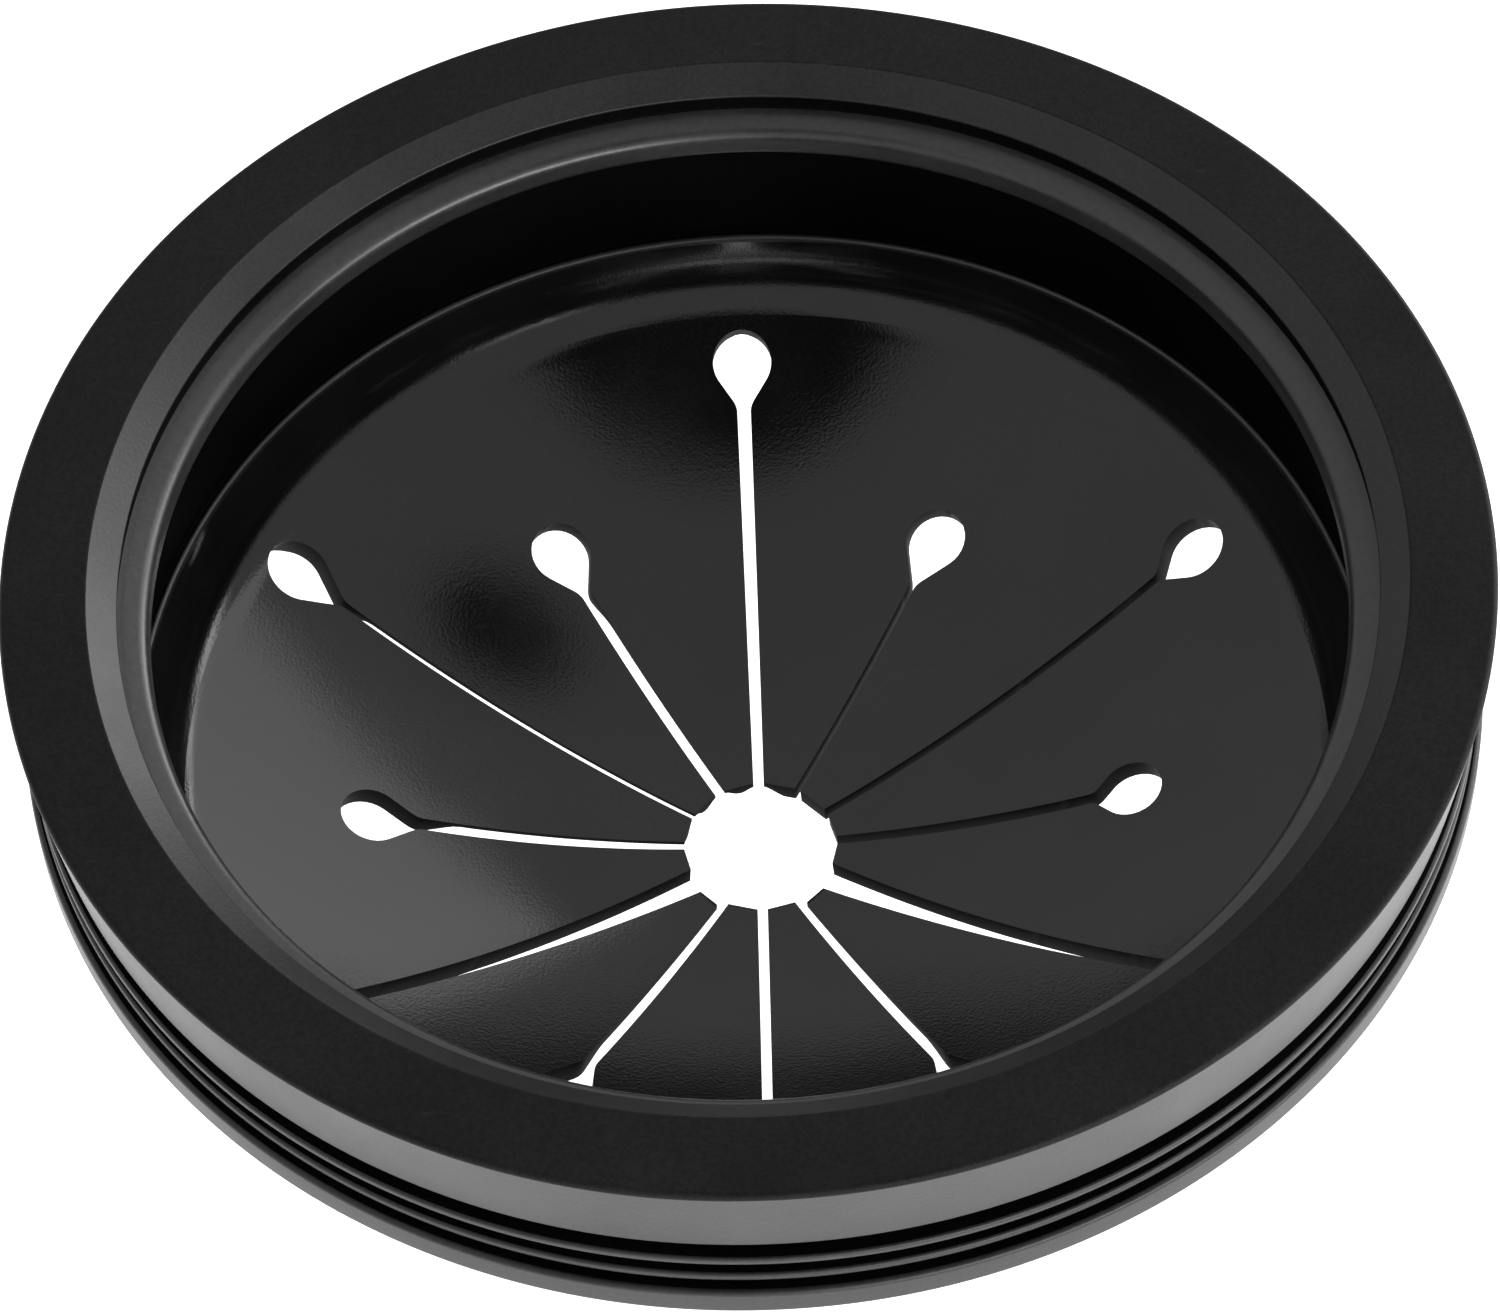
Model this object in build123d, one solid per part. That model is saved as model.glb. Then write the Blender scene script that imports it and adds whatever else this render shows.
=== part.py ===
from build123d import *
import math
import os

# Sink splash guard: one soft rubber moulding with a ribbed mounting collar and a
# slit bowl of six petals, each petal split into two fingers.
# Millimetres. +Z is up. The origin is on the axis, in the plane of the foot's
# underside. One long slit lies along +Y.

# ---------------------------------------------------------------- driving sizes
OUTER_DIAMETER = 79.4  # 3 1/8 in over the top flange
COLLAR_HEIGHT = 11.5  # foot's underside to the top face

FLANGE_DEPTH = 5.9  # height of the flange's side
FLANGE_DRAFT = 0.8  # how far the flange's side draws in on its way down
GROOVE_RADIUS = 37.3  # bottom of the grooves between the ribs
RIB_RADIUS = 39.1
RIB_TOPS = (4.7, 3.2)  # height of each rib's upper edge
RIB_THICKNESS = 0.8
RIB_TIP = 0.4  # thickness of a rib at its crest
FOOT_RADIUS = 39.5
FOOT_HEIGHT = 1.9

TOP_FACE_INNER_RADIUS = 35.05
CHAMFER_RADIUS = 33.45  # foot of the chamfer inside the top face
CHAMFER_DEPTH = 1.25
STEP_RADIUS = 33.3  # foot of the short dark step below the chamfer
STEP_DEPTH = 2.55
LIP_RADIUS = 32.0  # the throat, the narrowest ring of the collar
LIP_DEPTH = 3.4
LIP_LENGTH = 1.0
UNDERCUT_DRAFT = 0.7  # height over which the lip runs out to the recessed wall

WALL_INNER_RADIUS = 34.2  # recessed wall between the lip and the bowl
WALL_THICKNESS = 1.2
WALL_FOOT_DEPTH = 14.1  # top face to the small shoulder at the wall's foot
SHOULDER_RADIUS = 33.7

BOWL_BOTTOM_DEPTH = 27.25  # top face to the bowl's upper surface on the axis
BOWL_CURVATURE = 0.0088  # height = curvature x radius squared
BOWL_EDGE_RADIUS = 30.87  # where the bowl meets the corner arc
TIP_THICKNESS = 1.1  # bowl beside the centre hole
CORNER_THICKNESS = 1.7  # bowl where it turns up into the wall

CENTRE_HOLE_RADIUS = 4.5
SLIT_WIDTH = 0.65
SLIT_END_RADIUS = 1.7  # outer end of the teardrop hole that ends every slit
SLIT_END_TAPER = 30  # lean of the teardrop's sides towards the slit, in degrees
LONG_SLIT_REACH = 29.6  # axis to the centre of a long slit's end hole
SHORT_SLIT_REACH = 21.2
PETALS = 6
PETAL_ANGLE = 360 / PETALS

PETAL_FOLD = 45  # degrees that a petal folds down
FINGER_FOLD = 50
ROOT_GAP = 0.4  # clearance along each folding line
PETAL_PIVOT_DROP = 0.1  # pivot below the upper surface, at the line's middle
FINGER_PIVOT_DROP = 0.9

# ---------------------------------------------------------------- derived sizes
TOP = COLLAR_HEIGHT
OUTER_RADIUS = OUTER_DIAMETER / 2
FLANGE_FOOT = TOP - FLANGE_DEPTH
WALL_OUTER_RADIUS = WALL_INNER_RADIUS + WALL_THICKNESS
WALL_FOOT = TOP - WALL_FOOT_DEPTH
BOWL_BOTTOM = TOP - BOWL_BOTTOM_DEPTH
PETAL_CHORD = LONG_SLIT_REACH * math.cos(math.radians(PETAL_ANGLE / 2))
FINGER_CHORD = SHORT_SLIT_REACH * math.cos(math.radians(PETAL_ANGLE / 4))
FAR = 60  # longer than anything here, for cutting tools


def bowl_height(radius):
    """Height of the bowl's upper surface at a radius."""
    return BOWL_BOTTOM + BOWL_CURVATURE * radius**2


def bowl_slope(radius):
    """Slope of the bowl's upper surface at a radius."""
    return 2 * BOWL_CURVATURE * radius


def revolve_profile(edges):
    """Turn a closed outline in the XZ plane about the Z axis."""
    return revolve(make_face(edges), Axis.Z)


def rib_points(top):
    """Outline of one rib, from its upper root to its lower root."""
    shrink = (RIB_THICKNESS - RIB_TIP) / 2
    return [
        (GROOVE_RADIUS, top),
        (RIB_RADIUS, top - shrink),
        (RIB_RADIUS, top - RIB_THICKNESS + shrink),
        (GROOVE_RADIUS, top - RIB_THICKNESS),
    ]


def mounting_collar():
    """Flange, ribs, foot, lip and the recessed wall, as one ring."""
    outer = [
        (OUTER_RADIUS, TOP),
        (OUTER_RADIUS - FLANGE_DRAFT, FLANGE_FOOT),
        (GROOVE_RADIUS, FLANGE_FOOT),
    ]
    for top in RIB_TOPS:
        outer += rib_points(top)
    outer += [
        (GROOVE_RADIUS, FOOT_HEIGHT),
        (FOOT_RADIUS, FOOT_HEIGHT),
        (FOOT_RADIUS, 0),
        (WALL_OUTER_RADIUS, 0),
        (WALL_OUTER_RADIUS, WALL_FOOT),
    ]
    lip_bottom = TOP - LIP_DEPTH - LIP_LENGTH
    inner = [
        (SHOULDER_RADIUS, WALL_FOOT),
        (WALL_INNER_RADIUS, WALL_FOOT + WALL_INNER_RADIUS - SHOULDER_RADIUS),
        (WALL_INNER_RADIUS, lip_bottom - UNDERCUT_DRAFT),
        (LIP_RADIUS, lip_bottom),
        (LIP_RADIUS, TOP - LIP_DEPTH),
        (STEP_RADIUS, TOP - STEP_DEPTH),
        (CHAMFER_RADIUS, TOP - CHAMFER_DEPTH),
        (TOP_FACE_INNER_RADIUS, TOP),
    ]
    outline = [(r, 0, z) for r, z in outer + inner]
    return revolve_profile(Polyline(*outline, close=True))


def smooth_run(start, start_slope, end, end_slope):
    """Shallow curve between two (r, z) points that leaves and arrives at given slopes."""
    rise = end[1] - start[1] - end_slope * (end[0] - start[0])
    step = rise / (start_slope - end_slope)
    middle = (start[0] + step, 0, start[1] + start_slope * step)
    return Bezier((start[0], 0, start[1]), middle, (end[0], 0, end[1]))


def bowl():
    """Whole bowl, uncut: a shallow dish that turns up into the foot of the wall."""
    tip = (CENTRE_HOLE_RADIUS, bowl_height(CENTRE_HOLE_RADIUS))
    edge = (BOWL_EDGE_RADIUS, bowl_height(BOWL_EDGE_RADIUS))
    tip_slope = bowl_slope(tip[0])
    edge_slope = bowl_slope(edge[0])
    lean = math.atan(edge_slope)
    under_tip = (tip[0], tip[1] - TIP_THICKNESS)
    under_edge = (
        edge[0] + CORNER_THICKNESS * math.sin(lean),
        edge[1] - CORNER_THICKNESS * math.cos(lean),
    )
    wall_in = (SHOULDER_RADIUS, 0, WALL_FOOT)
    wall_out = (WALL_OUTER_RADIUS, 0, WALL_FOOT)
    upper = smooth_run(tip, tip_slope, edge, edge_slope)
    upper_corner = TangentArc((edge[0], 0, edge[1]), wall_in, tangent=(1, 0, edge_slope))
    rim = Line(wall_in, wall_out)
    lower_corner = TangentArc(
        (under_edge[0], 0, under_edge[1]), wall_out, tangent=(1, 0, edge_slope)
    )
    lower = smooth_run(under_tip, tip_slope, under_edge, edge_slope)
    hole_wall = Line((tip[0], 0, tip[1]), (under_tip[0], 0, under_tip[1]))
    return revolve_profile([upper, upper_corner, rim, lower_corner, lower, hole_wall])


def slit(reach, angle):
    """Cutting tool for one slit and the teardrop hole at its outer end."""
    lean = math.radians(SLIT_END_TAPER)
    half = SLIT_WIDTH / 2
    point = reach - SLIT_END_RADIUS / math.sin(lean)
    neck = point + half / math.tan(lean)
    touch = (reach - SLIT_END_RADIUS * math.sin(lean), SLIT_END_RADIUS * math.cos(lean))
    plan = make_face(
        [
            Polyline((0, half), (neck, half), touch),
            ThreePointArc(touch, (reach + SLIT_END_RADIUS, 0), (touch[0], -touch[1])),
            Polyline((touch[0], -touch[1]), (neck, -half), (0, -half)),
            Line((0, -half), (0, half)),
        ]
    )
    return Rot(0, 0, angle) * Pos(0, 0, -FAR / 2) * extrude(plan, FAR)


def slits():
    """All twelve slits: long ones between the petals, short ones up their middles."""
    tools = []
    for k in range(PETALS):
        tools.append(slit(SHORT_SLIT_REACH, k * PETAL_ANGLE))
        tools.append(slit(LONG_SLIT_REACH, (k + 0.5) * PETAL_ANGLE))
    return tools


def sector(chord, spread):
    """Upright prism over the triangle between the axis and a chord across +X."""
    half_width = chord * math.tan(math.radians(spread / 2))
    corners = [(0, 0), (chord, -half_width), (chord, half_width)]
    prism = extrude(make_face(Polyline(*corners, close=True)), FAR)
    return Pos(0, 0, -FAR / 2) * prism


def fold_relief(chord, drop, fold, spread):
    """Cutting tool for the clearance along a folding line across +X.

    It is a thin upright gap above the pivot and opens inwards below it by the
    angle of the fold, so that the flap's lower edge swings clear.
    """
    pivot = bowl_height(chord) - drop
    near = chord - ROOT_GAP / 2
    far = chord + ROOT_GAP / 2
    depth = FAR / 4
    reach = depth * math.tan(math.radians(fold))
    outline = [
        (far, 0, pivot + depth),
        (far, 0, pivot - depth),
        (near - reach, 0, pivot - depth),
        (near, 0, pivot),
        (near, 0, pivot + depth),
    ]
    wedge = extrude(make_face(Polyline(*outline, close=True)), FAR / 2, dir=(0, 1, 0), both=True)
    return wedge & sector(FAR / 2, spread)


def petal_sector():
    """Ground plan of one petal, with its middle on +X."""
    return sector(PETAL_CHORD, PETAL_ANGLE)


def petal_relief():
    """Clearance along one petal's folding line."""
    return fold_relief(PETAL_CHORD, PETAL_PIVOT_DROP, PETAL_FOLD, PETAL_ANGLE)


def split_petal(slit_bowl):
    """One petal's root piece and its two fingers, with the petal's middle on +X."""
    blank = (slit_bowl & petal_sector()) - petal_relief()
    fingers = []
    for side in (-1, 1):
        turn = Rot(0, 0, side * PETAL_ANGLE / 4)
        plan = turn * sector(FINGER_CHORD, PETAL_ANGLE / 2)
        relief = turn * fold_relief(
            FINGER_CHORD, FINGER_PIVOT_DROP, FINGER_FOLD, PETAL_ANGLE / 2
        )
        fingers.append((blank & plan) - relief)
        blank = blank - plan - relief
    return blank, fingers


def bowl_web(slit_bowl):
    """Fixed outer part of the bowl, outside the petals' folding lines."""
    web = slit_bowl
    for k in range(PETALS):
        web -= Rot(0, 0, k * PETAL_ANGLE) * petal_sector()
        web -= Rot(0, 0, k * PETAL_ANGLE) * petal_relief()
    return web


def main():
    """Build every node and write it as one STEP file."""
    slit_bowl = bowl()
    for tool in slits():
        slit_bowl -= tool
    nodes = {"mounting_collar": mounting_collar(), "bowl_web": bowl_web(slit_bowl)}
    petal, fingers = split_petal(slit_bowl)
    for k in range(PETALS):
        turn = Rot(0, 0, k * PETAL_ANGLE)
        nodes[f"petal_{k + 1}"] = turn * petal
        for letter, finger in zip("ab", fingers):
            nodes[f"finger_{k + 1}{letter}"] = turn * finger
    os.makedirs("parts", exist_ok=True)
    for name, shape in nodes.items():
        export_step(shape, f"parts/{name}.step")


main()
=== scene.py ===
"""Looks of the sink splash guard: a ribbed rubber collar over a dished bowl of slit flaps."""

import logging
import math
from dataclasses import dataclass, field
from enum import Enum
from typing import Iterable, Sequence

import bmesh
import bpy
from mathutils import Matrix, Vector

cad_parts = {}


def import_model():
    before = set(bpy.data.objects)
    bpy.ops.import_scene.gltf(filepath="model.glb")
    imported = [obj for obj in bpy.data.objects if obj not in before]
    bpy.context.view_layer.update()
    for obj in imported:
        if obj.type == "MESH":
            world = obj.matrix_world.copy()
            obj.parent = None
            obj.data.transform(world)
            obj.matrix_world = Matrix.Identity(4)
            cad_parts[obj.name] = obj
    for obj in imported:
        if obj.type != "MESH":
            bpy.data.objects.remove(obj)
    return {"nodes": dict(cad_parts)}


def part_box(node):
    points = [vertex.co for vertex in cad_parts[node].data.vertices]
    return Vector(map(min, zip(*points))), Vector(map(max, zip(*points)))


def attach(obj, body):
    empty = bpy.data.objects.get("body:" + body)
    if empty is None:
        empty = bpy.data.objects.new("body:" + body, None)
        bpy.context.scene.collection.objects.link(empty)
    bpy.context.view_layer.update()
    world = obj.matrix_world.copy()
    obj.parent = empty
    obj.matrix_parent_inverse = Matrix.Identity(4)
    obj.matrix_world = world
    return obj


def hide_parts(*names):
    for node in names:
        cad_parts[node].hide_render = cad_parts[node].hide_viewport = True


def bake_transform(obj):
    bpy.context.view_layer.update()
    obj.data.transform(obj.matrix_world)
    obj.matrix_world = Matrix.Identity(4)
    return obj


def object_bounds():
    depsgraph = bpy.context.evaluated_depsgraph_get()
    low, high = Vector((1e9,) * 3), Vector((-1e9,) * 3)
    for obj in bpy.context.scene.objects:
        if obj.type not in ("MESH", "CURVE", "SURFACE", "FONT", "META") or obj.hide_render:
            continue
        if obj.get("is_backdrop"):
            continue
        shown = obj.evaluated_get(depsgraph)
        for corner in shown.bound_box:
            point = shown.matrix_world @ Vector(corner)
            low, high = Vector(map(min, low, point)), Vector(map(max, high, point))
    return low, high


LOG = logging.getLogger("splash_guard")
MM = 0.001
WELD = 1e-6
OUTER_RADIUS = 39.7 * MM
BOWL_DEPTH = 27.25 * MM
FLOOR_DROP = 90 * MM
ROUND_SEGMENTS = 288

Point = tuple[float, float]


# ------------------------------------------------------------------ mesh helpers
def deselect_all() -> None:
    """Leave object mode with nothing selected."""
    if bpy.context.object and bpy.context.object.mode != "OBJECT":
        bpy.ops.object.mode_set(mode="OBJECT")
    bpy.ops.object.select_all(action="DESELECT")


def smoothstep(value: float) -> float:
    """Ease a value from 0 to 1 with level ends."""
    t = min(max(value, 0.0), 1.0)
    return t * t * (3 - 2 * t)


def blend_between(a: float, b: float, share: float) -> float:
    """Value that lies a share of the way from a to b."""
    return a + (b - a) * share


def soft_max(a: float, b: float, width: float) -> float:
    """Larger of two lengths, with the corner between them rounded over a width."""
    h = max(width - abs(a - b), 0.0) / width
    return max(a, b) + h * h * width / 4


def finish_shading(piece: bpy.types.Object, angle: float) -> None:
    """Shade a piece smooth below an angle in degrees and weight its normals by face size."""
    bpy.ops.object.shade_smooth_by_angle(angle=math.radians(angle))
    weigh = piece.modifiers.new("even_normals", "WEIGHTED_NORMAL")
    weigh.keep_sharp = True
    weigh.weight = 60
    bpy.ops.object.modifier_apply(modifier=weigh.name)


# ------------------------------------------------------------------ round outlines
@dataclass(frozen=True)
class Corner:
    """One corner of a turned outline: its radius from the axis, its height and its rounding."""

    radius: float
    height: float
    rounding: float = 0.0


def rounded_outline(corners: list[Corner], steps: int = 5) -> list[Point]:
    """Turn a closed list of corners into outline points with arcs at the rounded ones.

    Args:
        corners: The corners in order round the outline.
        steps: How many spans each rounding arc is divided into.

    Returns:
        The outline's points as (radius, height).
    """
    points: list[Point] = []
    count = len(corners)
    for i, corner in enumerate(corners):
        here = Vector((corner.radius, corner.height))
        if corner.rounding <= 0:
            points.append((here.x, here.y))
            continue
        before = Vector((corners[i - 1].radius, corners[i - 1].height)) - here
        after = Vector((corners[(i + 1) % count].radius, corners[(i + 1) % count].height)) - here
        half = before.angle(after) / 2
        reach = corner.rounding / math.tan(half)
        centre = here + (before.normalized() + after.normalized()).normalized() * (
            corner.rounding / math.sin(half)
        )
        start = here + before.normalized() * reach - centre
        end = here + after.normalized() * reach - centre
        sweep = math.atan2(start.x * end.y - start.y * end.x, start.dot(end))
        for k in range(steps + 1):
            a = sweep * k / steps
            c, s = math.cos(a), math.sin(a)
            turned = Vector((start.x * c - start.y * s, start.x * s + start.y * c))
            points.append((centre.x + turned.x, centre.y + turned.y))
    return points


def ring(name: str, outline: list[Point], segments: int) -> bpy.types.Object:
    """Build a closed ring by carrying one circle round an outline and welding its ends.

    Args:
        name: The piece's name.
        outline: The ring's section as (radius, height), in order.
        segments: How many faces go round the ring.

    Returns:
        The ring, with its place in its mesh.
    """
    deselect_all()
    radius, height = outline[0]
    bpy.ops.mesh.primitive_circle_add(vertices=segments, radius=radius, location=(0, 0, height))
    piece = bpy.context.object
    piece.name = name
    bpy.ops.object.transform_apply(location=True, rotation=True, scale=True)
    bpy.ops.object.mode_set(mode="EDIT")
    bpy.ops.mesh.select_all(action="SELECT")
    for (r0, z0), (r1, z1) in zip(outline, outline[1:] + outline[:1]):
        bpy.ops.mesh.extrude_region_move(TRANSFORM_OT_translate={"value": (0, 0, z1 - z0)})
        bpy.ops.transform.resize(value=(r1 / r0, r1 / r0, 1), center_override=(0, 0, 0))
    bpy.ops.mesh.select_all(action="SELECT")
    bpy.ops.mesh.remove_doubles(threshold=WELD)
    bpy.ops.mesh.normals_make_consistent(inside=False)
    bpy.ops.object.mode_set(mode="OBJECT")
    return piece


# ------------------------------------------------------------------ finishes
class Grade(Enum):
    """How the mould's surface left a stretch of rubber; the dull grade's near-black tone is painted
    shade for recesses and cut walls.
    """

    GRAINED = "grained"
    POLISHED = "polished"
    DULL = "dull_painted_shade"
    SATIN = "satin"
    FLANK = "flank"
    CHAMFER = "chamfer"


@dataclass(frozen=True)
class RubberFinish:
    """Moulded black rubber with grain, cloudy bloom, dust and fine scuffs.

    tone and bloom are the base greys where the clouds are dark and light, spread is
    how far the clouds move the roughness, and mottle is how far the grain darkens
    the base. Sizes of the patterns are in metres, on the piece's own coordinates.
    """

    name: str
    tone: float
    bloom: float
    roughness: float
    spread: float
    grain_size: float
    grain_depth: float
    gloss: float = 0.5
    mottle: float = 0.35
    cloud_size: float = 9 * MM
    dust_size: float = 0.16 * MM
    scuff_size: float = 0.7 * MM

    def build(self) -> bpy.types.Material:
        """Make the material.

        Returns:
            The finished node material.
        """
        material = bpy.data.materials.new(self.name)
        material.use_nodes = True
        tree = material.node_tree
        shader = tree.nodes["Principled BSDF"]
        shader.inputs["Specular IOR Level"].default_value = self.gloss
        place = tree.nodes.new("ShaderNodeTexCoord").outputs["Object"]

        clouds = self._noise(tree, place, self.cloud_size, detail=5)
        dust = self._noise(tree, place, self.dust_size, detail=2)
        scuffs = self._scuffs(tree, place)
        grain = self._noise(tree, place, self.grain_size, detail=3)

        colour = self._ramp(tree, clouds, [(0.35, self.tone), (0.68, self.bloom)])
        depth = self._ramp(tree, grain, [(0.38, self.mottle), (0.62, 0.0)])
        grained = self._mix(tree, depth, colour, 0.0)
        specks = self._ramp(tree, dust, [(0.66, 0.0), (0.74, 0.3)])
        worn = self._mix(tree, specks, grained, self.bloom * 1.5 + 0.006)
        marked = self._mix(tree, scuffs, worn, self.bloom * 1.4 + 0.004)
        rough = self._ramp(
            tree,
            clouds,
            [(0.3, self.roughness - self.spread), (0.7, self.roughness + self.spread)],
        )
        tree.links.new(marked, shader.inputs["Base Color"])
        tree.links.new(rough, shader.inputs["Roughness"])

        bump = tree.nodes.new("ShaderNodeBump")
        bump.inputs["Strength"].default_value = 1.0
        bump.inputs["Distance"].default_value = self.grain_depth
        tree.links.new(grain, bump.inputs["Height"])
        tree.links.new(bump.outputs["Normal"], shader.inputs["Normal"])
        return material

    @staticmethod
    def _noise(
        tree: bpy.types.NodeTree, place: bpy.types.NodeSocket, size: float, detail: float
    ) -> bpy.types.NodeSocket:
        """Noise whose features are about a size across; returns its value socket."""
        node = tree.nodes.new("ShaderNodeTexNoise")
        node.inputs["Scale"].default_value = 1 / size
        node.inputs["Detail"].default_value = detail
        tree.links.new(place, node.inputs["Vector"])
        return node.outputs["Fac"]

    def _scuffs(
        self, tree: bpy.types.NodeTree, place: bpy.types.NodeSocket
    ) -> bpy.types.NodeSocket:
        """Sparse fine lines drawn round the part by handling; returns a mask socket."""
        stretch = tree.nodes.new("ShaderNodeMapping")
        stretch.inputs["Scale"].default_value = (0.25, 1.0, 1.6)
        stretch.inputs["Rotation"].default_value = (0.2, 0.1, 0.7)
        tree.links.new(place, stretch.inputs["Vector"])
        lines = self._noise(tree, stretch.outputs["Vector"], self.scuff_size, detail=6)
        return self._ramp(tree, lines, [(0.69, 0.0), (0.76, 0.5)])

    @staticmethod
    def _ramp(
        tree: bpy.types.NodeTree, value: bpy.types.NodeSocket, stops: list[Point]
    ) -> bpy.types.NodeSocket:
        """Grey ramp through (position, level) stops; returns its colour socket."""
        node = tree.nodes.new("ShaderNodeValToRGB")
        for element, (position, level) in zip(node.color_ramp.elements, stops):
            element.position = position
            element.color = (level, level, level * 1.02, 1)
        tree.links.new(value, node.inputs["Fac"])
        return node.outputs["Color"]

    @staticmethod
    def _mix(
        tree: bpy.types.NodeTree,
        mask: bpy.types.NodeSocket,
        base: bpy.types.NodeSocket,
        level: float,
    ) -> bpy.types.NodeSocket:
        """Base colour with a flat grey laid over it through a mask; returns a colour socket."""
        node = tree.nodes.new("ShaderNodeMix")
        node.data_type = "RGBA"
        tree.links.new(mask, node.inputs["Factor"])
        tree.links.new(base, node.inputs["A"])
        node.inputs["B"].default_value = (level, level, level, 1)
        return node.outputs["Result"]


# name, tone, bloom, roughness, spread, grain size, grain depth, gloss
FINISHES = {
    grade: RubberFinish(f"{grade.value}_rubber", *numbers)
    for grade, numbers in {
        Grade.GRAINED: (0.010, 0.014, 0.5, 0.05, 0.2 * MM, 0.012 * MM, 0.1),
        Grade.POLISHED: (0.014, 0.022, 0.36, 0.08, 0.35 * MM, 0.01 * MM, 0.7),
        # dull grade: its near-black tone is painted shade for the recessed wall, the groove, the
        # rib gaps and the slit walls; its low gloss and high roughness are the finish
        Grade.DULL: (0.0015, 0.0025, 0.6, 0.05, 0.25 * MM, 0.01 * MM, 0.04),
        Grade.SATIN: (0.009, 0.016, 0.12, 0.04, 0.17 * MM, 0.006 * MM, 0.5),
        Grade.CHAMFER: (0.012, 0.017, 0.4, 0.05, 0.2 * MM, 0.01 * MM, 0.4),
        Grade.FLANK: (0.014, 0.02, 0.36, 0.05, 0.25 * MM, 0.008 * MM, 0.4),
    }.items()
}


# ------------------------------------------------------------------ the dish's shape
@dataclass(frozen=True)
class Dish:
    """Section of the bowl: a shallow parabola that turns up into the wall on an arc."""

    bottom: float
    wall_foot: float
    curvature: float = 8.8
    tip_radius: float = 4.35 * MM
    edge_radius: float = 30.87 * MM
    wall_in: float = 33.7 * MM
    wall_out: float = 35.4 * MM
    tip_thickness: float = 1.1 * MM

    @property
    def lean(self) -> float:
        """Slope angle where the parabola ends."""
        return math.atan(2 * self.curvature * self.edge_radius)

    @property
    def corner_radius(self) -> float:
        """Radius of the arc that turns the bowl up into the wall."""
        return (self.wall_in - self.edge_radius) / (1 - math.sin(self.lean))

    @property
    def corner_centre(self) -> Point:
        """Centre of that arc, as (radius, height)."""
        return self.wall_in - self.corner_radius, self.wall_foot

    @property
    def corner_thickness(self) -> float:
        """Thickness of rubber round the corner."""
        return self.wall_out - self.wall_in

    def top(self, radius: float) -> float:
        """Height of the upper surface at a radius."""
        if radius <= self.edge_radius:
            return self.bottom + self.curvature * radius**2
        x, z = self.corner_centre
        return z - math.sqrt(max(self.corner_radius**2 - (radius - x) ** 2, 0.0))

    def slope(self, radius: float) -> float:
        """Slope angle of the upper surface at a radius."""
        if radius <= self.edge_radius:
            return math.atan(2 * self.curvature * radius)
        return math.asin((radius - self.corner_centre[0]) / self.corner_radius)

    def thickness(self, radius: float) -> float:
        """Thickness of the rubber, square to the surface, at a radius."""
        share = min(radius / self.edge_radius, 1.0) ** 3
        return blend_between(self.tip_thickness, self.corner_thickness, share)


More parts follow.
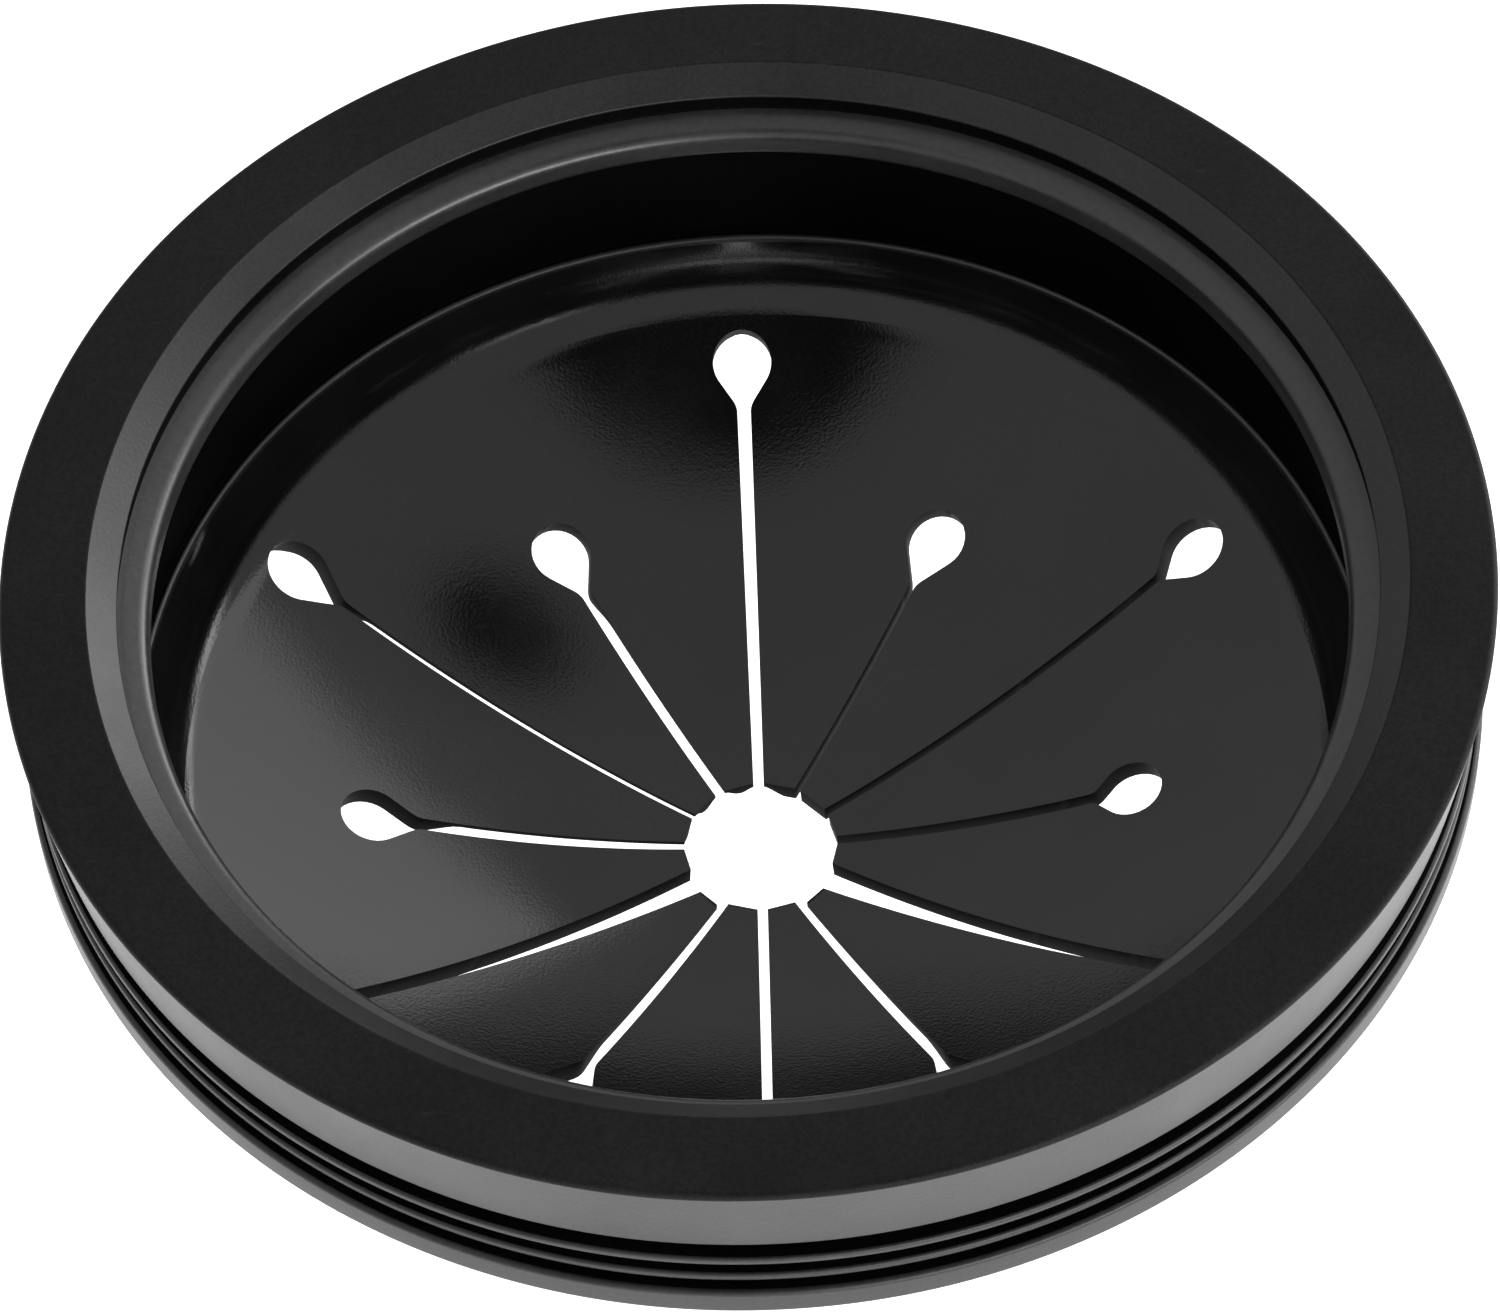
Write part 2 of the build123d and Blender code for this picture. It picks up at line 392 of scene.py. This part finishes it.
# ------------------------------------------------------------------ collar
@dataclass
class Collar:
    """Flange, ribs, foot, lip and recessed wall, turned as one ring."""

    top: float
    outer_radius: float
    dish: Dish
    groove_radius: float = 37.3 * MM
    rib_radius: float = 39.1 * MM
    rib_tops: tuple[float, ...] = (4.7 * MM, 3.2 * MM)
    rib_thickness: float = 0.8 * MM
    foot_radius: float = 39.5 * MM
    foot_height: float = 1.9 * MM
    flange_foot: float = 5.6 * MM
    lip_radius: float = 32.0 * MM
    step_radius: float = 33.75 * MM
    chamfer_radius: float = 35.05 * MM

    def outline(self) -> list[Corner]:
        """Corners of the ring's section, from the top face's outer edge down and back up inside."""
        wall_out = self.dish.wall_out
        wall_in = self.dish.wall_in
        foot = self.dish.wall_foot
        corners = [
            Corner(self.outer_radius, self.top, 0.35 * MM),
            Corner(self.outer_radius - 0.8 * MM, self.flange_foot, 0.25 * MM),
            Corner(self.groove_radius, self.flange_foot - 0.1 * MM, 0.12 * MM),
        ]
        for top in self.rib_tops:
            corners += [
                Corner(self.groove_radius, top, 0.15 * MM),
                Corner(self.rib_radius, top - 0.15 * MM, 0.2 * MM),
                Corner(self.rib_radius, top - self.rib_thickness + 0.1 * MM, 0.2 * MM),
                Corner(self.groove_radius, top - self.rib_thickness, 0.15 * MM),
            ]
        corners += [
            Corner(self.groove_radius, self.foot_height, 0.15 * MM),
            Corner(self.foot_radius, self.foot_height, 0.3 * MM),
            Corner(self.foot_radius, 0.0, 0.35 * MM),
            Corner(wall_out, 0.0, 0.3 * MM),
            Corner(wall_out, foot),
            Corner(wall_in, foot),
            Corner(wall_in, foot + 0.4 * MM, 0.26 * MM),
            Corner(wall_in + 0.5 * MM, foot + 0.4 * MM, 0.08 * MM),
            Corner(wall_in + 0.5 * MM, self.top - 5.1 * MM, 0.5 * MM),
            Corner(self.lip_radius, self.top - 4.4 * MM, 0.45 * MM),
            Corner(self.lip_radius, self.top - 2.85 * MM, 0.75 * MM),
            Corner(33.3 * MM, self.top - 2.5 * MM, 0.16 * MM),
            Corner(self.step_radius, self.top - 2.4 * MM, 0.1 * MM),
            Corner(self.step_radius, self.top - 1.6 * MM, 0.1 * MM),
            Corner(33.45 * MM, self.top - 1.25 * MM, 0.12 * MM),
            Corner(self.chamfer_radius, self.top, 0.25 * MM),
        ]
        return corners

    def build(self) -> bpy.types.Object:
        """Turn the ring.

        Returns:
            The collar as one closed mesh.
        """
        piece = ring("rubber_collar", rounded_outline(self.outline()), ROUND_SEGMENTS)
        finish_shading(piece, 38)
        return piece

    def dress(self, piece: bpy.types.Object, finishes: dict[Grade, bpy.types.Material]) -> None:
        """Give each stretch of the ring the surface that its part of the mould left, with painted
        shade (the dull grade's near-black tone) in the groove, on the recessed wall and between the
        ribs.
        """
        order = [Grade.GRAINED, Grade.POLISHED, Grade.DULL, Grade.FLANK, Grade.CHAMFER]
        for grade in order:
            piece.data.materials.append(finishes[grade])
        for face in piece.data.polygons:
            face.material_index = order.index(self.grade_at(face.center))

    def grade_at(self, place: Vector) -> Grade:
        """Surface grade of the stretch of ring that a point lies on."""
        radius = math.hypot(place.x, place.y)
        depth = self.top - place.z
        chamfer_depth = 1.35 * MM
        on_inner_rim = radius < 35.0 * MM and depth < 4.8 * MM
        on_bead = radius < self.dish.wall_in + 0.3 * MM and place.z < self.dish.wall_foot + 0.5 * MM
        between_ribs = radius < 38.85 * MM and 0.1 * MM < place.z < self.flange_foot
        # groove under the chamfer: dull grade, painted shade
        if radius > 33.42 * MM and chamfer_depth < depth < 2.45 * MM:
            return Grade.DULL if radius < 34.0 * MM else Grade.GRAINED
        if on_inner_rim:
            return Grade.CHAMFER if depth < chamfer_depth else Grade.POLISHED
        if on_bead:
            return Grade.POLISHED
        # recessed wall and gaps between the ribs: dull grade, painted shade
        if radius < 34.5 * MM or between_ribs:
            return Grade.DULL
        if radius > 37.6 * MM and depth > 0.4 * MM:
            return Grade.FLANK
        return Grade.GRAINED


# ------------------------------------------------------------------ slits and flaps
@dataclass(frozen=True)
class Slit:
    """One radial cut with a teardrop hole at its outer end.

    Angles are in degrees and lengths in metres. relief is how far the flaps beside
    the slit are thinned from below at their edges, from 0 for none to 1.
    """

    angle: float
    reach: float
    inner_width: float
    outer_width: float
    relief: float
    hole_radius: float = 1.7 * MM
    taper: float = 30.0
    start: float = 4.35 * MM

    def half_width(self, x: float) -> float:
        """Half of the opening's width at a distance from the axis."""
        s = x - self.reach
        if s >= self.hole_radius:
            return 0.0
        along = min(max((x - self.start) / (self.reach - self.start), 0.0), 1.0)
        cut = blend_between(self.inner_width, self.outer_width, along) / 2
        lean = math.radians(self.taper)
        if s > -self.hole_radius * math.sin(lean):
            return math.sqrt(self.hole_radius**2 - s**2)
        drop = self.hole_radius / math.cos(lean) + s * math.tan(lean)
        return soft_max(cut, max(drop, 0.0), 0.25 * MM)

    def relief_at(self, x: float) -> float:
        """Share of thinning below the flap's edge at a distance from the axis."""
        fade = (self.reach - 1.5 * self.hole_radius - x) / (2.5 * MM)
        return self.relief * smoothstep(fade)


@dataclass
class Flap:
    """A petal's root or a finger: a stretch of bowl between two slits.

    droop is how far the tip hangs below the bowl's surface, and twist is how much
    lower the tip's counterclockwise corner is than its other one.
    """

    name: str
    dish: Dish
    low: Slit
    high: Slit
    x_start: float
    x_end: float
    columns: int
    droop: float = 0.0
    twist: float = 0.0
    root: float = 22.5 * MM
    step: float = 0.38 * MM
    edge_band: float = 1.3 * MM
    has_tip: bool = False
    arc_steps: int = 16

    def stations(self) -> list[float]:
        """Distances from the axis of the rows across the flap, closer together round holes."""
        kept = [self.x_start, self.x_end]
        for slit in (self.low, self.high):
            arc = [
                slit.reach - slit.hole_radius * math.cos(math.pi * i / self.arc_steps)
                for i in range(self.arc_steps + 1)
            ]
            self._fill(kept, reversed(arc), 0.025 * MM)
            self._fill(kept, (slit.reach - (1.0 + 0.12 * i) * MM for i in range(20)), 0.06 * MM)
        count = math.ceil((self.x_end - self.x_start) / self.step)
        steady = (blend_between(self.x_start, self.x_end, i / count) for i in range(count))
        self._fill(kept, steady, 0.12 * MM)
        return sorted(kept)

    def _fill(self, kept: list[float], wanted: Iterable[float], gap: float) -> None:
        """Add the distances wanted that lie on the flap, a gap or more from those already kept."""
        for x in wanted:
            if self.x_start < x < self.x_end and all(abs(x - other) > gap for other in kept):
                kept.append(x)

    def place(self, x: float, share: float) -> tuple[float, float]:
        """Polar place of a point a share of the way from the low slit's edge to the high one's."""
        low, high = self.low.half_width(x), self.high.half_width(x)
        start = math.radians(self.low.angle) + math.atan2(low, x)
        end = math.radians(self.high.angle) - math.atan2(high, x)
        radius = blend_between(math.hypot(x, low), math.hypot(x, high), share)
        return radius, blend_between(start, end, share)

    def middle(self) -> float:
        """Direction of the flap's centreline, in radians."""
        return math.radians((self.low.angle + self.high.angle) / 2)

    def sag(self, radius: float, share: float) -> float:
        """How far the flap hangs below the bowl's surface at a point."""
        out = min(max((self.root - radius) / (self.root - self.dish.tip_radius), 0.0), 1.0)
        return out**2 * (self.droop + self.twist * (share - 0.5))

    def thinning(self, x: float, share: float) -> float:
        """Share of the flap's thickness left at a point, after the relief below its edges."""
        radius, _ = self.place(x, share)
        width = radius * abs(self.place(x, 1.0)[1] - self.place(x, 0.0)[1])
        left = 1.0
        for slit, gap in ((self.low, share * width), (self.high, (1 - share) * width)):
            left -= slit.relief_at(x) * (1 - smoothstep(gap / self.edge_band))
        return max(left, 0.25)

    def build(self) -> bpy.types.Object:
        """Bend a flat grid onto the bowl, give it thickness and round its cut edges.

        Returns:
            The flap as one closed mesh.
        """
        deselect_all()
        rows = self.stations()
        columns = self.columns
        bpy.ops.mesh.primitive_grid_add(
            x_subdivisions=columns, y_subdivisions=len(rows) - 1, size=2
        )
        piece = bpy.context.object
        piece.name = self.name
        mesh = piece.data
        inward: dict[tuple[int, int], Vector] = {}
        for vertex in mesh.vertices:
            i = round((vertex.co.y + 1) / 2 * (len(rows) - 1))
            j = round((vertex.co.x + 1) / 2 * columns)
            share = 0.5 - 0.5 * math.cos(math.pi * j / columns)
            radius, angle = self.place(rows[i], share)
            radius += self.tip_cut(rows[i], angle)
            way = Vector((math.cos(angle), math.sin(angle), 0))
            lean = self.dish.slope(radius)
            depth = self.dish.thickness(radius) * self.thinning(rows[i], share)
            vertex.co = way * radius
            vertex.co.z = self.dish.top(radius) - self.sag(radius, share)
            key = round(vertex.co.x / WELD), round(vertex.co.y / WELD)
            inward[key] = (way * math.sin(lean) - Vector((0, 0, math.cos(lean)))) * depth
        bpy.ops.object.mode_set(mode="EDIT")
        bpy.ops.mesh.select_all(action="SELECT")
        bpy.ops.mesh.extrude_region_move(TRANSFORM_OT_translate={"value": (0, 0, 0)})
        edit = bmesh.from_edit_mesh(mesh)
        for vertex in edit.verts:
            if vertex.select:
                vertex.co += inward[round(vertex.co.x / WELD), round(vertex.co.y / WELD)]
        bmesh.update_edit_mesh(mesh)
        bpy.ops.mesh.select_all(action="SELECT")
        bpy.ops.mesh.normals_make_consistent(inside=False)
        self.round_edges(mesh)
        bpy.ops.object.mode_set(mode="OBJECT")
        finish_shading(piece, 50)
        return piece

    def tip_cut(self, x: float, angle: float) -> float:
        """How much further out the tip's straight end lies than a round one, fading inwards."""
        if not self.has_tip:
            return 0.0
        fade = 1 - smoothstep((x - self.x_start) / (3 * MM))
        half = math.radians(self.high.angle - self.low.angle) / 2
        chord = self.x_start * math.cos(half * 0.8) / math.cos(angle - self.middle())
        return fade * (chord - self.x_start)

    def round_edges(self, mesh: bpy.types.Mesh) -> None:
        """Round the edges along the slits, the holes and the tip, but not along the joins."""
        bpy.ops.mesh.select_mode(type="EDGE")
        bpy.ops.mesh.select_all(action="DESELECT")
        edit = bmesh.from_edit_mesh(mesh)
        for edge in edit.edges:
            sharp = edge.calc_face_angle(0.0) > math.radians(40)
            edge.select = sharp and not self.on_join(edge) and not self.past_hole(edge)
        bmesh.update_edit_mesh(mesh)
        bpy.ops.mesh.bevel(offset=0.09 * MM, segments=3, affect="EDGES", clamp_overlap=True)

    def on_join(self, edge: bmesh.types.BMEdge) -> bool:
        """Whether an edge lies on a join with the next piece, or runs down a corner of the flap."""
        return any(all(self.on_cap(v.co, join) for v in edge.verts) for join in self.joins())

    def past_hole(self, edge: bmesh.types.BMEdge) -> bool:
        """Whether an edge lies beyond a slit's end, where the two flaps are one sheet."""
        for slit in (self.low, self.high):
            a = math.radians(slit.angle)
            along = [v.co.x * math.cos(a) + v.co.y * math.sin(a) for v in edge.verts]
            across = [abs(v.co.y * math.cos(a) - v.co.x * math.sin(a)) for v in edge.verts]
            end = slit.reach + slit.hole_radius - 0.02 * MM
            if min(along) > end and max(across) < 0.2 * MM:
                return True
        return False

    def joins(self) -> list[float]:
        """Distances from the axis where the flap meets another piece."""
        return [self.x_end] if self.has_tip else [self.x_start, self.x_end]

    def on_cap(self, place: Vector, join: float) -> bool:
        """Whether a point lies on the cut face that is square to the surface at a join."""
        lean = self.dish.slope(join)
        out = math.hypot(place.x, place.y) - join
        up = place.z - self.dish.top(join)
        along = out * math.cos(lean) + up * math.sin(lean)
        return abs(along) < 0.02 * MM

    def dress(self, piece: bpy.types.Object, finishes: dict[Grade, bpy.types.Material]) -> None:
        """Give the broad faces the mould's satin and the cut walls the dull grade, whose near-black
        tone is painted shade.
        """
        piece.data.materials.append(finishes[Grade.SATIN])
        piece.data.materials.append(finishes[Grade.DULL])
        for face in piece.data.polygons:
            # steep cut walls get the dull grade, whose near-black tone is painted shade
            face.material_index = int(abs(face.normal.z) < 0.5)


@dataclass(frozen=True)
class Cut:
    """How one slit came out: its widths, its relief, and how far it strays from its place.

    Lengths are in millimetres and turn is in degrees.
    """

    inner: float
    outer: float
    relief: float = 0.0
    out: float = 0.0
    turn: float = 0.0
    taper: float = 30.0


@dataclass
class SlitBowl:
    """The whole bowl: its fixed rim, six petal roots and twelve fingers."""

    dish: Dish
    petal_count: int = 6
    join: float = 31.7 * MM
    finger_root: float = 23.6 * MM
    long_reach: float = 29.6 * MM
    short_reach: float = 21.2 * MM
    petal_fold: tuple[float, float] = (27.2 * MM, 24.0 * MM)
    finger_fold: tuple[float, float] = (22.0 * MM, 19.2 * MM)
    # every slit, by its nominal angle in degrees
    cuts: dict[int, Cut] = field(
        default_factory=lambda: {
            0: Cut(0.8, 0.6, out=-0.3, turn=1.2, taper=46),
            30: Cut(0.42, 0.44, out=-0.55, taper=42),
            60: Cut(0.32, 0.32, out=0.1, taper=34),
            90: Cut(0.58, 0.8, 0.6, out=-0.3, turn=0.4, taper=36),
            120: Cut(0.62, 0.62, 0.75, out=0.25, turn=0.9, taper=34),
            150: Cut(0.3, 0.32, 0.85, out=0.2, taper=34),
            180: Cut(0.78, 0.74, 0.8, out=0.5, turn=-0.7, taper=34),
            210: Cut(1.0, 0.75, taper=36),
            240: Cut(0.76, 0.76, 0.6, out=0.3, turn=-1.2),
            270: Cut(0.56, 0.56, 0.5, taper=36),
            300: Cut(0.76, 0.76, 0.6, out=0.6),
            330: Cut(1.15, 0.7, taper=36),
        }
    )
    # how far each finger's tip hangs, in millimetres, by the angle of its centreline
    droops: dict[int, float] = field(
        default_factory=lambda: {195: -0.4, 225: 0.6, 315: 0.6, 345: -0.4}
    )

    def slit(self, angle: float) -> Slit:
        """The slit at an angle, counted round from the first one."""
        cut = self.cuts[round(angle) % 360]
        is_short = round(angle) % 60 == 0
        return Slit(
            angle + cut.turn,
            (self.short_reach if is_short else self.long_reach) + cut.out * MM,
            cut.inner * MM,
            cut.outer * MM,
            cut.relief,
            taper=cut.taper,
        )

    def rim(self) -> bpy.types.Object:
        """Fixed outer ring of the bowl, from the petals' joins up to the wall's foot."""
        dish = self.dish
        x, z = dish.corner_centre
        steps = 16
        outline = [(self.join, dish.top(self.join))]
        turn = math.asin((self.join - x) / dish.corner_radius)
        for i in range(1, steps + 1):
            a = blend_between(turn, math.pi / 2, i / steps)
            inner = dish.corner_radius
            outline.append((x + inner * math.sin(a), z - inner * math.cos(a)))
        outer = dish.corner_radius + dish.corner_thickness
        for i in range(steps + 1):
            a = blend_between(math.pi / 2, turn, i / steps)
            outline.append((x + outer * math.sin(a), z - outer * math.cos(a)))
        piece = ring("bowl_rim", outline, ROUND_SEGMENTS)
        finish_shading(piece, 40)
        return piece

    def petal(self, number: int) -> Flap:
        """Root of one petal, the stretch of bowl between its two long slits."""
        middle = (number - 1) * 360 / self.petal_count
        return Flap(
            f"petal_root_{number}",
            self.dish,
            self.slit(middle - 30),
            self.slit(middle + 30),
            self.finger_root,
            self.join,
            columns=72,
        )

    def finger(self, number: int, side: int) -> Flap:
        """One finger, the stretch of bowl from its petal's root in to the centre hole."""
        middle = (number - 1) * 360 / self.petal_count
        low, high = (middle - 30, middle) if side < 0 else (middle, middle + 30)
        letter = "a" if side < 0 else "b"
        return Flap(
            f"flap_finger_{number}{letter}",
            self.dish,
            self.slit(low),
            self.slit(high),
            self.dish.tip_radius,
            self.finger_root,
            columns=36,
            droop=self.droops.get(round((low + high) / 2) % 360, 0.0) * MM,
            has_tip=True,
        )

    @staticmethod
    def fold_points(angle: float, fold: tuple[float, float]) -> list[Vector]:
        """Where a fold starts and ends along a centreline at an angle in degrees."""
        way = Vector((math.cos(math.radians(angle)), math.sin(math.radians(angle)), 0))
        return [way * distance for distance in fold]


# ------------------------------------------------------------------ studio
@dataclass
class Studio:
    """Pale floor, soft lights, black cards and the camera.

    The camera's angles are in degrees and its lens is in millimetres.
    """

    middle: Vector
    floor_height: float
    floor_radius: float = 6.0
    floor_glow: float = 0.9
    surround: float = 0.7
    card_height: float = 0.45
    elevation: float = 52.54
    turn: float = 1.07
    roll: float = -2.92
    distance: float = 317.6 * MM
    lens: float = 143.95
    nod: float = -0.976
    swing: float = -0.038

    def floor(self) -> None:
        """Wide pale floor, well below the part, that fades into the background."""
        deselect_all()
        bpy.ops.mesh.primitive_circle_add(
            vertices=96,
            radius=self.floor_radius,
            fill_type="NGON",
            location=(0, 0, self.floor_height),
        )
        floor = bpy.context.object
        floor.name = "studio_floor"
        material = bpy.data.materials.new("floor_paint")
        material.use_nodes = True
        shader = material.node_tree.nodes["Principled BSDF"]
        shader.inputs["Base Color"].default_value = (0.8, 0.8, 0.8, 1)
        shader.inputs["Roughness"].default_value = 0.9
        shader.inputs["Emission Color"].default_value = (1, 1, 1, 1)
        shader.inputs["Emission Strength"].default_value = self.floor_glow
        floor.data.materials.append(material)
        floor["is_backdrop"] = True

    def camera(self) -> None:
        """Camera above the front, turned and rolled a little."""
        data = bpy.data.cameras.new("camera")
        data.lens = self.lens
        data.clip_start = 0.01
        data.clip_end = 20
        camera = bpy.data.objects.new("camera", data)
        bpy.context.scene.collection.objects.link(camera)
        bpy.context.scene.camera = camera
        place = (
            Matrix.Translation(self.middle)
            @ Matrix.Rotation(math.radians(self.turn), 4, "Z")
            @ Matrix.Rotation(math.radians(90 - self.elevation), 4, "X")
            @ Matrix.Translation((0, 0, self.distance))
            @ Matrix.Rotation(math.radians(self.roll), 4, "Z")
            @ Matrix.Rotation(math.radians(self.nod), 4, "X")
            @ Matrix.Rotation(math.radians(self.swing), 4, "Y")
        )
        camera.matrix_world = place

    def light(
        self,
        name: str,
        azimuth: float,
        elevation: float,
        away: float,
        size: Point,
        power: float,
    ) -> None:
        """Soft rectangular light aimed at the part.

        Args:
            name: The light's name.
            azimuth: Direction of the light round the part, in degrees from +X towards +Y.
            elevation: Its height above the horizon, in degrees.
            away: Its distance in metres.
            size: Its width and height in metres.
            power: Its power in watts.
        """
        data = bpy.data.lights.new(name, "AREA")
        data.shape = "RECTANGLE"
        data.size, data.size_y = size
        data.energy = power
        lamp = bpy.data.objects.new(name, data)
        bpy.context.scene.collection.objects.link(lamp)
        a, e = math.radians(azimuth), math.radians(elevation)
        way = Vector((math.cos(a) * math.cos(e), math.sin(a) * math.cos(e), math.sin(e)))
        lamp.location = self.middle + way * away
        lamp.rotation_euler = way.to_track_quat("Z", "Y").to_euler()

    def lights(self) -> None:
        """Low strip in front and two soft panels behind, a glow below, and a pale surround."""
        self.light("strip_right", -50, 10, 0.8, (1.0, 0.12), 5.5)
        self.light("back_low", 38, 11, 0.8, (0.7, 0.3), 3.2)
        self.light("back_right", 42, 32, 0.8, (0.7, 0.4), 1.2)
        self.light("glow_right", -5, -38, 0.28, (0.2, 0.14), 2.4)
        world = bpy.data.worlds.new("surround")
        bpy.context.scene.world = world
        world.use_nodes = True
        back = world.node_tree.nodes["Background"]
        back.inputs["Color"].default_value = (1, 1, 1, 1)
        back.inputs["Strength"].default_value = self.surround
        bpy.context.scene.view_settings.view_transform = "Standard"

    def flag(self, name: str, lean: Point, radius: float) -> None:
        """Round black card overhead, unseen itself, which the glossy bowl reflects as a dark spot.

        Args:
            name: The card's name.
            lean: How far its direction leans from straight up, towards +X and +Y.
            radius: Its radius in metres.
        """
        deselect_all()
        way = Vector((*lean, 1.0)).normalized()
        bpy.ops.mesh.primitive_circle_add(
            vertices=48,
            radius=radius,
            fill_type="NGON",
            location=self.middle + way * self.card_height,
            rotation=way.to_track_quat("Z", "Y").to_euler(),
        )
        card = bpy.context.object
        card.name = name
        material = bpy.data.materials.new(name + "_felt")
        material.use_nodes = True
        shader = material.node_tree.nodes["Principled BSDF"]
        shader.inputs["Base Color"].default_value = (0.004, 0.004, 0.004, 1)
        shader.inputs["Specular IOR Level"].default_value = 0.0
        card.data.materials.append(material)
        card.visible_camera = False
        card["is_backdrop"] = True

    def build(self) -> None:
        """Set up the floor, the lights, the black cards and the camera."""
        self.floor()
        self.flag("large_card", (0.035, -0.43), 0.16)
        self.flag("small_card", (0.40, 0.26), 0.045)
        self.lights()
        self.camera()


# ------------------------------------------------------------------ assembly
def main() -> None:
    """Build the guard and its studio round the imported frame."""
    logging.basicConfig(level=logging.INFO, format="%(message)s")
    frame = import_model()
    cad_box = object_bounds()
    petals = sum(name.startswith("petal_") for name in frame["nodes"])
    collar_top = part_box("mounting_collar")[1]
    dish = Dish(bottom=collar_top.z - BOWL_DEPTH, wall_foot=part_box("mounting_collar")[0].z)
    finishes = {grade: finish.build() for grade, finish in FINISHES.items()}

    collar = Collar(top=collar_top.z, outer_radius=OUTER_RADIUS, dish=dish)
    piece = collar.build()
    collar.dress(piece, finishes)
    mount(piece, "mounting_collar", "collar")

    bowl = SlitBowl(dish, petals)
    piece = bowl.rim()
    piece.data.materials.append(finishes[Grade.SATIN])
    mount(piece, "bowl_web", "collar")
    for number in range(1, petals + 1):
        node = f"petal_{number}"
        flap = bowl.petal(number)
        piece = flap.build()
        flap.dress(piece, finishes)
        mount(piece, node, "collar", node)
        for side, letter in ((-1, "a"), (1, "b")):
            flap = bowl.finger(number, side)
            piece = flap.build()
            flap.dress(piece, finishes)
            tip = f"finger_{number}{letter}"
            mount(piece, tip, node, tip)

    studio = Studio(Vector((0, 0, collar_top.z)), floor_height=cad_box[0][2] - FLOOR_DROP)
    studio.build()


def mount(
    piece: bpy.types.Object,
    node: str,
    body: str,
    child: str = "",
) -> None:
    """Fix a piece to its body, or, if a child is given, only bake its place into its mesh; then
    hide the node's CAD part and log it.

    Args:
        piece: The finished piece.
        node: The node that the piece stands for.
        body: The body that it rides on, when no child is given.
        child: Name of a second body; if given, the piece is baked in place and not attached to any
            body.
    """
    if child:
        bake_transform(piece)
    else:
        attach(piece, body)
    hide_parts(node)
    LOG.info("%s: %d faces, stands for %s", piece.name, len(piece.data.polygons), node)


if __name__ == "__main__":
    main()
